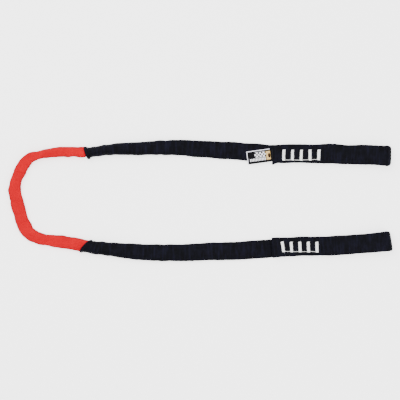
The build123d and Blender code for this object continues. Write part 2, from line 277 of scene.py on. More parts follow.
def thread_mesh(name, path, radius, around=8):
    """A round thread along a path: circles square to it, each turned to stay level."""
    tangents = directions(path)
    side = np.cross(tangents, [0, 0, 1.0])
    side[np.linalg.norm(side, axis=1) < 1e-6] = [1, 0, 0]
    side /= np.linalg.norm(side, axis=1)[:, None]
    up = np.cross(side, tangents)
    angle = np.linspace(0, math.tau, around, endpoint=False)[None, :, None]
    rings = path[:, None] - radius * np.cos(angle) * side[:, None]
    return tube_mesh(name, rings + radius * np.sin(angle) * up[:, None], lengths_along(path))


def add_piece(mesh, material):
    piece = placed(mesh.name, mesh)
    mesh.materials.append(material)
    return piece


def merged(name, meshes):
    """One mesh from several, with their UV maps."""
    holders = [placed(name, mesh) for mesh in meshes]
    with bpy.context.temp_override(
        active_object=holders[0], object=holders[0], selected_objects=holders,
        selected_editable_objects=holders,
    ):
        bpy.ops.object.join()
    mesh = holders[0].data
    bpy.data.objects.remove(holders[0])
    mesh.name = name
    mesh.materials.clear()
    return mesh


# ---- where things are ----

def eye_frame(side):
    """The flex's place on the floor, the direction along the eye and the one across it."""
    joint = JOINTS[f"{side}_eye_flex"]
    across = -np.array(joint["axis"], float)
    along = np.array([across[1], -across[0], 0])
    return np.array([*joint["pos_m"][:2], 0]), along, across


def on_eye(side, along_mm, across_mm, height_mm):
    """A point given in the eye's own directions, in millimetres."""
    start, along, across = eye_frame(side)
    amounts = ((along_mm, along), (across_mm, across), (height_mm, [0, 0, 1.0]))
    return start + MM * sum(np.multiply.outer(amount, way) for amount, way in amounts)


def cover_line():
    """The cover's route as points a millimetre apart, the distance along it of each of them,
    and the distance at which each control point of the route acts."""
    control = np.array([(x, y, COVER_HEIGHT) for x, y in COVER_ROUTE])
    fine = spline_line(control)
    travelled = lengths_along(fine)
    at = np.linspace(0, travelled[-1], int(round(travelled[-1] / MM)) + 1)
    line = np.stack([np.interp(at, travelled, fine[:, axis]) for axis in range(3)], 1)
    along, steps = lengths_along(line), lengths_along(control)
    return line, along, steps / steps[-1] * along[-1]


def bend_at_swing(piece):
    """Bakes a piece's placing into its mesh."""
    line, along, places = cover_line()
    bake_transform(piece)


def bend_at_flex(piece):
    """Bakes a piece's placing into its mesh."""
    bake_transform(piece)


def cover_rings():
    """Rings of the red cover along its whole route.

    Each ring is an ellipse as wide as the cloth lies there. The tube's girth stays the same,
    so where it is narrow it stands higher. Ripples, a shallow valley along the top, tight
    folds on the inside of the two corners and a kink on the outside are added to its radius.
    """
    line, along, places = cover_line()
    half_width = smooth(places, COVER_WIDTHS, along) * MM / 2
    girth_radius = bpy.context.scene.sling_sizes.cover_diameter / 2
    half_height = np.sqrt(np.clip(2 * girth_radius**2 - half_width**2, 0, None))
    half_height = np.clip(half_height, 5.2 * MM, 7.4 * MM)
    in_sleeve = np.minimum(along, along[-1] - along)
    # squeezed to fit where it goes into each sleeve, most in the pinched upper one
    upper_end = along < along[-1] / 2
    inner = np.where(upper_end, 5.4, 8.7) * MM
    squeezed = 1 - np.clip((in_sleeve - np.where(upper_end, 14, 10) * MM) / (5 * MM), 0, 1)
    half_width -= (half_width - inner) * squeezed
    half_height -= (half_height - 6.0 * MM) * squeezed
    lifted = 1 - np.clip((in_sleeve - 12 * MM) / (40 * MM), 0, 1) ** 0.7
    height = (1 - lifted) * (half_height + 0.3 * MM) + lifted * COVER_HEIGHT

    angle = np.linspace(0, math.tau, 72, endpoint=False)[None]
    here = along[:, None]
    swell = 0.30 * MM * ripple(here, angle, 9, 34 * MM, 13 * MM, 2, 4)
    swell += 0.07 * MM * ripple(here, angle, 10, 11 * MM, 5 * MM, 4, 11)
    valley = math.pi / 2 + 0.45 * np.sin(math.tau * here / 0.11 + 0.8)
    swell -= 0.75 * MM * hump(angle, valley, 0.42)
    swell += 0.35 * MM * (hump(angle, valley - 0.75, 0.3) + hump(angle, valley + 0.75, 0.3))
    inside = np.clip(np.cos(angle), 0, 1) ** 1.5
    for knee, depth in ((places[SWINGS["upper"]], 0.3), (places[SWINGS["lower"]], 0.2)):
        folds = np.sin(math.tau * (here - knee) / (6.4 * MM) + 1.3 * np.sin(2 * angle))
        swell += depth * MM * inside * hump(here, knee, 15 * MM) * folds
    # creases that lie across the cover where it turns
    draw = np.random.default_rng(17)
    for crease in np.linspace(places[7], places[13], 7):
        crease = crease + draw.uniform(-3, 3) * MM
        slanted = crease + draw.uniform(-3.0, 3.0) * MM * np.cos(angle)
        depth = draw.uniform(0.5, 1.1) * MM
        reach = np.clip(np.sin(angle + draw.uniform(-0.5, 0.5)), 0, 1) + 0.15 * inside
        swell -= depth * hump(here, slanted, 1.4 * MM) * reach
        swell += 0.35 * depth * hump(here, slanted + 3.2 * MM, 2.0 * MM) * reach
    # the kink on the outside of the bend, and the two pinches along the upper arm
    outside = np.clip(-np.cos(angle), 0, 1) ** 2
    swell += 1.1 * MM * outside * hump(here, places[9] - 2 * MM, 3.2 * MM)
    swell += 0.9 * MM * inside * hump(here, places[2] + 5 * MM, 4 * MM)
    swell += 0.7 * MM * inside * hump(here, places[4] + 3 * MM, 4 * MM)
    swell *= (1 - hump(in_sleeve, 0, 14 * MM))[:, None]

    tangents = directions(line)
    left = left_of(tangents)
    across, up = superellipse(angle, half_width[:, None] + swell, half_height[:, None] + swell, 2.0)
    up = np.maximum(up, -height[:, None] + 0.15 * MM)
    centre = line.copy()
    centre[:, 2] = height
    rings = centre[:, None] + across[..., None] * left[:, None]
    rings[..., 2] += up
    return rings


def sleeve_path(side):
    """Middle line of the webbing from the sleeve's mouth, along the lower ply, round the tip
    and back along the upper ply to its tail, with its width, thickness and squareness.

    The leg and the lower ply follow smooth curves through their stations and rest on the
    floor. The tip is an arc in the upright plane along the eye. The upper ply comes down a
    straight slope, tangent to the tip, and lies level where it is sewn.
    """
    start, along, _ = eye_frame(side)
    stations = np.array(SLEEVE_STATIONS[side])
    reach = np.linspace(stations[-1, 0] + 22, start[0] / MM + TIP_CENTRE * along[0], 5)
    eye_y = start[1] / MM + (reach - start[0] / MM) * along[1] / along[0]
    stray, widths = np.array(LOWER_PLY[side])
    table = np.concatenate([stations, np.stack([reach, eye_y + stray, widths, np.full(5, PLY)], 1)])
    x = np.arange(table[0, 0], table[-1, 0], 1.0)
    y, lower_width, lower_thick = [smooth(table[:, 0], column, x) for column in table.T[1:]]
    lower = np.stack([x, y, lower_thick / 2], 1) * MM

    line_radius = TIP_RADIUS + PLY / 2
    centre_height = PLY + TIP_RADIUS
    level = PLY + PLY_GAP + PLY / 2
    to_centre = math.hypot(TIP_CENTRE - SEWN_END, centre_height - level)
    slope = math.asin(line_radius / to_centre)
    slope += math.atan2(centre_height - level, TIP_CENTRE - SEWN_END)
    turn = np.linspace(0, math.pi + slope, 26)[1:]
    tip_along = TIP_CENTRE + line_radius * np.sin(turn)
    tip_height = centre_height - line_radius * np.cos(turn)
    tail = PLY_STATIONS[side][0][0]
    top_along = np.arange(tip_along[-1] - 1.0, tail, -1.0)
    top_height = np.maximum(level, tip_height[-1] - (tip_along[-1] - top_along) * math.tan(slope))
    knee = 4.0 * np.log1p(np.exp(-np.abs(top_along - SEWN_END) / 4.0)) * math.tan(slope)
    top_height = top_height + knee
    upper_along = np.concatenate([tip_along, top_along])
    upper_height = np.concatenate([tip_height, top_height])

    ply = np.array(PLY_STATIONS[side])
    before_tip = np.minimum(upper_along, ply[-1, 0])
    sideways, upper_width = [smooth(ply[:, 0], column, before_tip) for column in ply.T[1:]]
    share = np.concatenate([turn / turn[-1], np.ones(len(top_along))])
    upper_width = lower_width[-1] + (upper_width - lower_width[-1]) * share
    corner = 2.6 if side == "upper" else 1.2
    # narrower where it turns upright, a little wider where it has turned back
    past_tip = np.full(len(top_along), 9.0)
    turning = np.concatenate([turn, past_tip])
    upper_width -= corner * hump(turning, math.pi / 2, 0.7)
    upper_width += 0.9 * hump(turning, math.pi + slope, 1.0) * (share < 1)
    upper = on_eye(side, upper_along, sideways * share, upper_height)
    upper_thick = np.full(len(upper_along), PLY)
    # the plies puff up between the bar tacks
    first = tack_place(side, 1)[0]
    pitch = (tack_place(side, 5)[0] - first) / 4
    phase = (upper_along - first) / pitch
    sewn = (phase > -0.6) & (phase < 4.6) & (share >= 1)
    upper_thick += np.where(sewn, 0.55 * (1 - np.cos(math.tau * phase)) / 2, 0)
    upper_thick -= 1.6 * hump(upper_along, tail, 2.0) * (share >= 1)
    if side == "lower":
        # a storage crease stands up across this eye, just past its sewn part
        upper_thick += 0.9 * hump(upper_along, 135.5, 1.3) * (share >= 1)

    points = np.concatenate([lower, upper])
    width = np.concatenate([lower_width, upper_width])
    thick = np.concatenate([lower_thick, upper_thick])
    power = 2.05 + 1.9 * np.clip((width - thick) / 16, 0, 1)
    return points, width * MM, thick * MM, power, len(lower)


def webbing_axes(side, points, lower_count):
    """Along, sideways and upwards for each point of the webbing's middle line. On the eye,
    sideways is the flex's own axis, so that it keeps its sense round the tip."""
    tangents = directions(points)
    left = left_of(tangents)
    left[lower_count - 12:] = eye_frame(side)[2]
    up = np.cross(tangents, left)
    return tangents, left, up / np.linalg.norm(up, axis=1)[:, None]


def tack_place(side, number):
    """Where a bar tack is on its eye, in millimetres along and across."""
    low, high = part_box(f"{side}_bar_tack_{number}")
    start, along, across = eye_frame(side)
    middle = np.array((low + high) / 2) - start
    return float(middle @ along) / MM, float(middle @ across) / MM


def drawn_tack(side, number):
    """Where a bar tack's stitches are drawn: the row is sewn in line with the sling, not quite
    in line with its eye."""
    along, across = tack_place(side, number)
    step_along, steps_across = TACK_SHIFTS[side]
    return along + step_along, across + steps_across[number - 1]


def mouth_slant(side, sideways):
    """How far the sleeve's cut edge stands back, for a place across it: a slant on the upper
    sleeve, a bowed slant on the lower one."""
    if side == "upper":
        return -1.0 * MM - 0.17 * sideways + 11.0 * sideways**2
    return 0.62 * sideways + 22.0 * sideways**2


def slanted_tip(side, points):
    """Moves points near an eye's tip forward along the eye, by an amount that changes evenly
    across it and grows from nothing over the last stretch."""
    start, along, across = eye_frame(side)
    stands, slants = TIP_SLANT[side]
    towards_tip = np.clip(((points - start) @ along / MM - SLANT_START) / SLANT_REACH, 0, 1)
    forward = (stands * MM + slants * ((points - start) @ across)) * towards_tip
    return points + forward[..., None] * along


def webbing_rings(side):
    """Rings of the sleeve and eye, and the distances along them.

    The outline at each place is a superellipse, almost round at the mouth and boxy on the
    eye, and its radius carries ripples that are strongest on the soft leg. The first rings
    turn in at the mouth and run back inside as the sleeve's inner wall.
    """
    points, width, thick, power, lower_count = sleeve_path(side)
    along = lengths_along(points)
    tangents, left, up = webbing_axes(side, points, lower_count)

    angle = np.linspace(0, math.tau, 64, endpoint=False)[None]
    here = along[:, None]
    softness = np.clip((thick[:, None] - 4.0 * MM) / (7 * MM), 0.18, 1)
    swell = 0.32 * MM * softness * ripple(here, angle, 10, 46 * MM, 14 * MM, 2, 21)
    swell += 0.08 * MM * ripple(here, angle, 10, 13 * MM, 6 * MM, 3, 33)
    if side == "upper":
        # a crease slants over the leg where it starts to lie flat
        crease = 132 * MM + 0.25 * width[:, None] * np.cos(angle)
        swell -= 0.5 * MM * hump(here, crease, 1.6 * MM) * np.clip(np.sin(angle), 0, 1)
    # pinched behind the hem
    swell -= 0.55 * MM * hump(here, 7.5 * MM, 3.0 * MM) * np.clip(1 - here / (30 * MM), 0, 1)
    sideways, upwards = superellipse(
        angle, width[:, None] / 2 + swell, thick[:, None] / 2 + 0.6 * swell, power[:, None]
    )
    # the edges of the webbing wander a little
    seed = 57 if side == "upper" else 64
    wander = 0.22 * MM * ripple(along, 0 * along, 6, 70 * MM, 24 * MM, 0, seed)
    rings = (
        points[:, None]
        + (sideways + wander[:, None])[..., None] * left[:, None]
        + upwards[..., None] * up[:, None]
    )
    # the lower face is drawn up a little where the bar tacks come through it
    start, eye_along, _ = eye_frame(side)
    from_flex = (points[:lower_count] - start) @ eye_along / MM
    last = tack_place(side, 5)[0]
    drawn_up = np.clip((from_flex - 58) / 5, 0, 1) * np.clip((last + 10 - from_flex) / 5, 0, 1)
    lowest = (0.1 + 0.5 * drawn_up[:, None]) * MM
    rings[:lower_count, :, 2] = np.maximum(rings[:lower_count, :, 2], lowest)
    rings = slanted_tip(side, rings)
    slant = mouth_slant(side, sideways) * (np.clip(1 - here / (26 * MM), 0, 1) ** 1.5)
    rings = rings + slant[..., None] * tangents[:, None]

    # the inner wall: some of the first rings again, drawn in by the wall on every side
    inside = [9, 6, 3, 1]
    offset = rings[inside] - points[inside, None]
    inner = points[inside, None]
    for axis, size in ((left, width), (up, thick), (tangents, None)):
        shrink = 1 if size is None else (1 - 2 * WEB_WALL / size[inside])[:, None]
        share = np.einsum("rpi,ri->rp", offset, axis[inside]) * shrink
        inner = inner + share[..., None] * axis[inside, None]
    return np.concatenate([inner, rings]), np.concatenate([-along[inside], along])


# ---- materials ----

def colour(code):
    """Linear RGBA from an sRGB hex value."""
    parts = [int(code[i:i + 2], 16) / 255 for i in (1, 3, 5)]
    return (*[p / 12.92 if p <= 0.04045 else ((p + 0.055) / 1.055) ** 2.4 for p in parts], 1.0)


def fill(tree, made, inputs):
    """Sets a node's inputs, given by name or number: a socket is linked, and anything else is
    set as the value."""
    for key, value in inputs.items():
        if isinstance(value, bpy.types.NodeSocket):
            tree.links.new(value, made.inputs[key])
        else:
            made.inputs[key].default_value = value


def node(tree, kind, inputs, **properties):
    made = tree.nodes.new(kind)
    for name, value in properties.items():
        setattr(made, name, value)
    fill(tree, made, inputs)
    return made


def new_material(name):
    material = bpy.data.materials.new(name)
    material.use_nodes = True
    tree = material.node_tree
    return material, tree, tree.nodes["Principled BSDF"]


def stripes(tree, uv, period, direction):
    """A wave across the cloth, with its period in metres. The texture repeats every 2 pi / 20
    of its scaled coordinate."""
    return node(tree, "ShaderNodeTexWave", {"Vector": uv, "Scale": math.tau / (20 * period)},
                wave_type="BANDS", bands_direction=direction).outputs["Fac"]


def weave_height(tree, uv, along_period, across_period):
    """Height of a plain weave: ridges across the cloth times ridges along it."""
    ribs, cords = stripes(tree, uv, along_period, "X"), stripes(tree, uv, across_period, "Y")
    return node(tree, "ShaderNodeMath", {0: ribs, 1: cords}, operation="MULTIPLY").outputs[0]


def weave_uv(tree):
    return node(tree, "ShaderNodeUVMap", {}, uv_map="weave").outputs["UV"]


def streaks(tree, scale, detail):
    """Noise that is stretched along or across the cloth."""
    spread = node(tree, "ShaderNodeMapping", {"Vector": weave_uv(tree), "Scale": scale}).outputs[0]
    return node(tree, "ShaderNodeTexNoise",
                {"Vector": spread, "Scale": 1.0, "Detail": detail}).outputs["Fac"]


def mix(tree, factor, below, above):
    """Mixes two colours, each given as a socket or as an RGBA value."""
    return node(tree, "ShaderNodeMix", {"Factor": factor, 6: below, 7: above},
                data_type="RGBA").outputs[2]


def relief(tree, height, strength, distance):
    return node(tree, "ShaderNodeBump", {
        "Height": height, "Strength": strength, "Distance": distance}).outputs["Normal"]


def cloth_material(name, base, dark, light, weave, bump, patch, roughness):
    """Woven cloth: the hollows of the weave are painted dark as shade, and soft patches are worn
    lighter.
    Returns the material, its tree, its shader and the shade so far."""
    material, tree, shader = new_material(name)
    uv = weave_uv(tree)
    height = weave_height(tree, uv, *weave)
    place = node(tree, "ShaderNodeTexCoord", {}).outputs["Object"]
    patches = node(tree, "ShaderNodeTexNoise",
                   {"Vector": place, "Scale": patch, "Detail": 4.0, "Roughness": 0.6})
    worn = node(tree, "ShaderNodeMapRange",
                {"Value": patches.outputs["Fac"], 1: 0.42, 2: 0.72, 3: 0.0, 4: 0.55})
    # painted shade: the hollows of the weave take the darker colour
    woven = mix(tree, height, colour(dark), colour(base))
    fill(tree, shader, {"Roughness": roughness, "Specular IOR Level": 0.05,
                        "Normal": relief(tree, height, bump, 0.0004)})
    return material, tree, shader, mix(tree, worn.outputs[0], woven, colour(light))


def polyester_cover():
    """Woven polyester, piece-dyed red: matt, with slightly darker painted shade between its yarns and
    on its two side folds.
    """
    dye = hex_of(bpy.context.scene.sling_colours.cover)
    material, tree, shader, shade = cloth_material(
        "woven_polyester_red", dye, "#A4000E", "#C00416", (1.0 * MM, 1.0 * MM), 0.25, 60, 0.85)
    # painted shade: the two side folds of the flattened tube are darkened, where its round sides turn
    # away from the light
    fold = node(tree, "ShaderNodeAttribute", {}, attribute_name="fold").outputs["Fac"]
    fill(tree, shader, {"Base Color": mix(tree, fold, shade, colour("#5A0410"))})
    return material


def nylon_webbing():
    """Tubular nylon webbing, dyed black: the cool, faint shine that the ribs across it catch is
    painted into its colour.
    """
    dye = hex_of(bpy.context.scene.sling_colours.webbing)
    material, tree, shader, shade = cloth_material(
        "tubular_nylon_black", dye, "#010103", "#0C0C18", (2.4 * MM, 1.8 * MM), 0.5, 90, 0.6)
    # painted highlight: every few ribs, one stands up, and its faint blue shine is painted as a
    # streak across the webbing
    painted_rib_sheen = node(tree, "ShaderNodeMapRange",
                  {"Value": streaks(tree, (300, 40, 1), 2.0), 1: 0.48, 2: 0.72, 3: 0.0, 4: 0.6})
    fill(tree, shader, {"Base Color": mix(tree, painted_rib_sheen.outputs[0], shade, colour("#101020"))})
    return material


def hex_of(value):
    """Hex code of a colour property, which holds sRGB values."""
    return "#" + "".join(f"{round(part * 255):02X}" for part in value[:3])


def thread_material():
    """Bonded polyester sewing thread, undyed: bright, with a soft gloss on each strand."""
    material, tree, shader = new_material("bonded_polyester_thread")
    twist = stripes(tree, weave_uv(tree), 0.9 * MM, "DIAGONAL")
    # painted shade: the grooves of the twist are a little darker than its crowns
    shade = mix(tree, twist, colour("#EDECE8"), colour("#FFFFFF"))
    fill(tree, shader, {
        "Base Color": shade, "Roughness": 0.5, "Normal": relief(tree, twist, 0.3, 0.0001)})
    return material


def yarn_material():
    """Untwisted polyester filament yarn: off-white, with its silky sheen painted as a lighter streak
    along it.
    """
    material, tree, shader = new_material("polyester_filament_yarn")
    grain = streaks(tree, (60, 2600, 1), 3.0)
    # painted sheen: the lighter streaks along the yarn stand for its silky shine
    shade = mix(tree, grain, colour("#C9C6BC"), colour("#F1EFE8"))
    fill(tree, shader, {"Base Color": shade, "Roughness": 0.4})
    return material


def label_material():
    """Damask-woven polyester label: black ground, a white line along two edges, a lattice of
    woven lozenges over a row of short bars, and a tan end with a dark oval."""
    material, tree, shader = new_material("damask_woven_label")
    uv = weave_uv(tree)
    split = node(tree, "ShaderNodeSeparateXYZ", {"Vector": uv})
    u, v = split.outputs["X"], split.outputs["Y"]

    def maths(operation, first, second):
        return node(tree, "ShaderNodeMath", {0: first, 1: second}, operation=operation).outputs[0]

    def window(*edges):
        """One inside the given lowest and highest u and lowest and highest v, in millimetres."""
        u_low, u_high, v_low, v_high = (edge * MM for edge in edges)
        inside_u = maths("MULTIPLY", maths("GREATER_THAN", u, u_low), maths("LESS_THAN", u, u_high))
        inside_v = maths("MULTIPLY", maths("GREATER_THAN", v, v_low), maths("LESS_THAN", v, v_high))
        return maths("MULTIPLY", inside_u, inside_v)

    zigzags = [maths("PINGPONG", along, 2.5 * MM) for along in (u, v)]
    slants = maths("LESS_THAN", maths("ABSOLUTE", maths("SUBTRACT", *zigzags), 0.0), 0.66 * MM)
    lattice = maths("MULTIPLY", slants, window(11.4, 28.0, 8.3, 16.4))
    bars = maths("LESS_THAN", maths("PINGPONG", u, 1.1 * MM), 0.62 * MM)
    row = maths("MULTIPLY", bars, window(3.2, 28.0, 3.6, 7.5))
    oval_u = maths("MULTIPLY", maths("SUBTRACT", u, 33.0 * MM), 1.9)
    oval_v = maths("SUBTRACT", v, 9.6 * MM)
    squares = [maths("MULTIPLY", reach, reach) for reach in (oval_u, oval_v)]
    oval = maths("LESS_THAN", maths("ADD", *squares), (3.5 * MM) ** 2)

    shade = colour("#050508")
    for mask, dye in (
        (lattice, "#F4F3F8"),
        (row, "#F4F3F8"),
        (window(28.4, 36.5, 3.6, 16.2), "#C9A86A"),
        (oval, "#2A170C"),
        (maths("LESS_THAN", u, 0.9 * MM), "#E4E2EC"),
        (maths("GREATER_THAN", v, 18.3 * MM), "#E4E2EC"),
    ):
        shade = mix(tree, mask, shade, colour(dye))
    height = weave_height(tree, uv, 0.8 * MM, 0.8 * MM)
    fill(tree, shader, {"Base Color": shade, "Roughness": 0.7, "Specular IOR Level": 0.08,
                        "Normal": relief(tree, height, 0.3, 0.0002)})
    return material


def plain_label_material():
    """The label's sewn edge: the same black damask, with nothing woven into it."""
    material, tree, shader = new_material("damask_woven_edge")
    place = node(tree, "ShaderNodeTexCoord", {}).outputs["Object"]
    grain = node(tree, "ShaderNodeTexNoise", {"Vector": place, "Scale": 900.0}).outputs["Fac"]
    shade = mix(tree, grain, colour("#060608"), colour("#101014"))
    fill(tree, shader, {"Base Color": shade, "Roughness": 0.7})
    return material


def floor_material():
    """White acrylic table, softly lit from below, so that the cloth throws almost no shadow."""
    material, tree, shader = new_material("lit_white_acrylic")
    fill(tree, shader, {
        "Base Color": colour("#F4F4F4"), "Roughness": 0.9, "Specular IOR Level": 0.0,
        "Emission Color": colour("#FFFFFF"), "Emission Strength": 1.8,
    })
    return material


# ---- settings ----

def size_property(name, description, millimetres):
    return bpy.props.FloatProperty(
        name=name, description=description, default=millimetres * MM, unit="LENGTH")


def dye_property(name, description, dye):
    return bpy.props.FloatVectorProperty(name=name, description=description, default=dye, size=3,
                                         min=0, max=1, subtype="COLOR_GAMMA")


class SlingSizes(bpy.types.PropertyGroup):
    cover_diameter: size_property("Cover diameter", "Where the red cover is round", 14.0)
    thread_diameter: size_property("Thread diameter", "The bar tacks' thread, drawn coarse", 0.95)
    yarn_diameter: size_property("Yarn bundle diameter", "One bundle of the load core", 2.7)
    hem_roll: size_property("Hem roll", "Thickness of the hem at a sleeve's mouth", 1.7)


class SlingColours(bpy.types.PropertyGroup):
    cover: dye_property("Cover", "Dye of the woven cover", (0.72, 0.0, 0.10))
    webbing: dye_property("Webbing", "Dye of the tubular webbing", (0.025, 0.025, 0.055))


# ---- pieces ----

class SLING_OT_stage(bpy.types.Operator):
    """Pale floor, soft lights and the camera straight above"""
    bl_idname = "sling.stage"
    bl_label = "Stage"

    def execute(self, context):
        scene = context.scene
        reach = 5.0
        mesh = bpy.data.meshes.new("floor")
        corners = [(-reach, -reach, 0), (reach, -reach, 0), (reach, reach, 0), (-reach, reach, 0)]
        mesh.from_pydata(corners, [], [(0, 1, 2, 3)])
        mesh.materials.append(floor_material())
        placed("floor", mesh)

        for name, place, power, size in (
            ("key", (-0.9, 0.8, 1.6), 40.0, 1.4),
            ("fill", (1.1, -0.6, 1.5), 26.0, 1.6),
            ("top", (0.0, 0.0, 2.0), 36.0, 2.2),
        ):
            light = bpy.data.lights.new(name, "AREA")
            light.energy = power
            light.size = size
            lamp = placed(name, light)
            lamp.location = place
            lamp.rotation_euler = (-Vector(place)).to_track_quat("-Z", "Y").to_euler()

        world = bpy.data.worlds.new("studio")
        world.use_nodes = True
        background = world.node_tree.nodes["Background"]
        fill(world.node_tree, background, {"Color": colour("#FFFFFF"), "Strength": 1.0})
        scene.world = world

        view_width = 0.596
        height = 2.4
        camera = bpy.data.cameras.new("camera")
        camera.sensor_width = 36
        camera.lens = 36 * height / view_width
        camera.clip_end = 20
        rig = placed("camera", camera)
        rig.location = (-0.0006, 0.0007, height)
        scene.camera = rig
        return {"FINISHED"}


class SLING_OT_cover(bpy.types.Operator):
    """Red woven cover, in two halves that meet in the middle of the bend"""
    bl_idname = "sling.cover"
    bl_label = "Red cover"

    def execute(self, context):
        material = polyester_cover()
        rings = cover_rings()
        line, along, places = cover_line()
        line[:, 2] = rings.mean(1)[:, 2]
        angle = np.linspace(0, math.tau, rings.shape[1], endpoint=False)
        # painted shade on the two side folds, passed to the cover's colour as the fold attribute
        side_fold_shade = 0.5 * np.clip((np.abs(np.cos(angle)) - 0.75) / 0.25, 0, 1)
        middle = int(np.searchsorted(along, places[MEETING]))
        for side, part in (("upper", slice(0, middle + 1)), ("lower", slice(middle, None))):
            mesh = tube_mesh(f"{side}_red_cover", rings[part], along[part])
            fold_shade_shares = np.concatenate([np.tile(side_fold_shade, len(rings[part])), [0, 0]])
            mesh.attributes.new("fold", "FLOAT", "POINT").data.foreach_set("value", fold_shade_shares)
            piece = add_piece(mesh, material)
            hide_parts(f"{side}_cover", "bend_cover")
            bend_at_swing(piece)
        return {"FINISHED"}


class SLING_OT_webbing(bpy.types.Operator):
    """Black tubular webbing: a sleeve and the eye that it goes on as"""
    bl_idname = "sling.webbing"
    bl_label = "Black webbing"

    def execute(self, context):
        material = nylon_webbing()
        for side in SIDES:
            mesh = tube_mesh(f"{side}_webbing", *webbing_rings(side))
            piece = add_piece(mesh, material)
            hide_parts(f"{side}_sleeve", f"{side}_eye_web")
            bend_at_flex(piece)
        return {"FINISHED"}


class SLING_OT_hems(bpy.types.Operator):
    """Rolled hem at the mouth of each sleeve"""
    bl_idname = "sling.hems"
    bl_label = "Hems"

    def execute(self, context):
        material = nylon_webbing()
        roll = context.scene.sling_sizes.hem_roll
        for side in SIDES:
            points, width, thick = sleeve_path(side)[:3]
            tangent = directions(points)[3]
            left = left_of(tangent[None])[0]
            around = np.linspace(0, math.tau, 64, endpoint=False)[:, None]
            profile = np.linspace(0, math.tau, 14, endpoint=False)[None]
            puff = 1 + 0.14 * np.sin(3 * around + 0.6) + 0.08 * np.sin(7 * around)
            puff += (0.3 if side == "upper" else 0.0) * hump(around, math.pi, 1.1)
            outward = 0.5 * roll * np.sin(profile) * puff
            lengthwise = 2.0 * MM + 2.3 * MM * -np.cos(profile)
            sideways, upwards = superellipse(
                around, width[2] / 2 - 0.1 * MM + outward, thick[2] / 2 - 0.1 * MM + outward, 2.1)
            lengthwise = lengthwise + mouth_slant(side, sideways)
            grid = (
                points[0] + lengthwise[..., None] * tangent
                + sideways[..., None] * left + upwards[..., None] * np.array([0, 0, 1.0])
            )
            grid[..., 2] = np.maximum(grid[..., 2], 0.1 * MM)
            over_roll = np.linspace(0, 7 * MM, profile.size + 1)
            mesh = tube_mesh(f"{side}_hem", grid.transpose(1, 0, 2), over_roll, closed=True)
            piece = add_piece(mesh, material)
            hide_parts(f"{side}_sleeve_hem")
            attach(piece, f"{side}_leg")
        return {"FINISHED"}


class SLING_OT_bar_tacks(bpy.types.Operator):
    """Bar tacks: dense zigzags of thread through both plies"""
    bl_idname = "sling.bar_tacks"
    bl_label = "Bar tacks"

    def execute(self, context):
        material = thread_material()
        radius = context.scene.sling_sizes.thread_diameter / 2
        draw = np.random.default_rng(8)
        for side in SIDES:
            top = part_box(f"{side}_bar_tack_3")[1][2] / MM
            for number in range(1, 6):
                along, across = drawn_tack(side, number)
                lean = draw.uniform(-0.035, 0.035)
                if side == "lower" and number == 1:
                    lean = 0.09
                length = 15.0 + draw.uniform(-0.4, 0.4)
                wide = 4.0 + draw.uniform(-0.25, 0.25)
                above = zigzag(wide, length, 0.55, draw)
                below = zigzag(wide, length, -0.12, draw)
                meshes = []
                for path, level in ((above, top - 0.9), (below, 0.62)):
                    world = on_eye(side, along + path[:, 0] - lean * path[:, 1],
                                   across + path[:, 1], level + path[:, 2])
                    meshes.append(thread_mesh("stitches", world, radius, 6))
                mesh = merged(f"{side}_bar_tack_stitching_{number}", meshes)
                piece = add_piece(mesh, material)
                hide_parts(f"{side}_bar_tack_{number}")
                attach(piece, f"{side}_eye")
        return {"FINISHED"}


def zigzag(wide, length, arch, draw):
    """Middle line of a bar tack's thread, in millimetres: a zigzag across the bar that creeps
    along it, each stitch arched over the cloth."""
    stitches = 46
    t = np.linspace(0, stitches, stitches * 5 + 1)
    swing = 2 * np.abs((t / 2) % 1 - 0.5) * 2 - 1
    edge = 1 + 0.02 * draw.standard_normal(stitches + 1)
    reach = np.interp(t, np.arange(stitches + 1), edge)
    creep = (t / stitches - 0.5) * length
    return np.stack([swing * wide / 2 * reach, creep, arch * (1 - np.abs(swing) ** 3)], 1)


class SLING_OT_jump_threads(bpy.types.Operator):
    """The sewing thread where it jumps from one bar tack to the next"""
    bl_idname = "sling.jump_threads"
    bl_label = "Jump threads"

    def execute(self, context):
        material = thread_material()
        draw = np.random.default_rng(5)
        for side in SIDES:
            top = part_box(f"{side}_jump_thread")[1][2] / MM
            meshes = []
            for number in range(1, 5):
                here, across = drawn_tack(side, number)
                there, next_across = drawn_tack(side, number + 1)
                t = np.linspace(0, 1, 15)
                along = here + 1.4 + t * (there - here - 2.8)
                slack = draw.uniform(-0.5, 0.6) * np.sin(math.pi * t)
                sideways = across + t * (next_across - across) - 7.0 - slack
                world = on_eye(side, along, sideways, top - 0.55 + 0.35 * np.sin(math.pi * t))
                meshes.append(thread_mesh("jump", world, 0.24 * MM))
            piece = add_piece(merged(f"{side}_jump_stitches", meshes), material)
            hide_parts(f"{side}_jump_thread")
            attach(piece, f"{side}_eye")
        return {"FINISHED"}


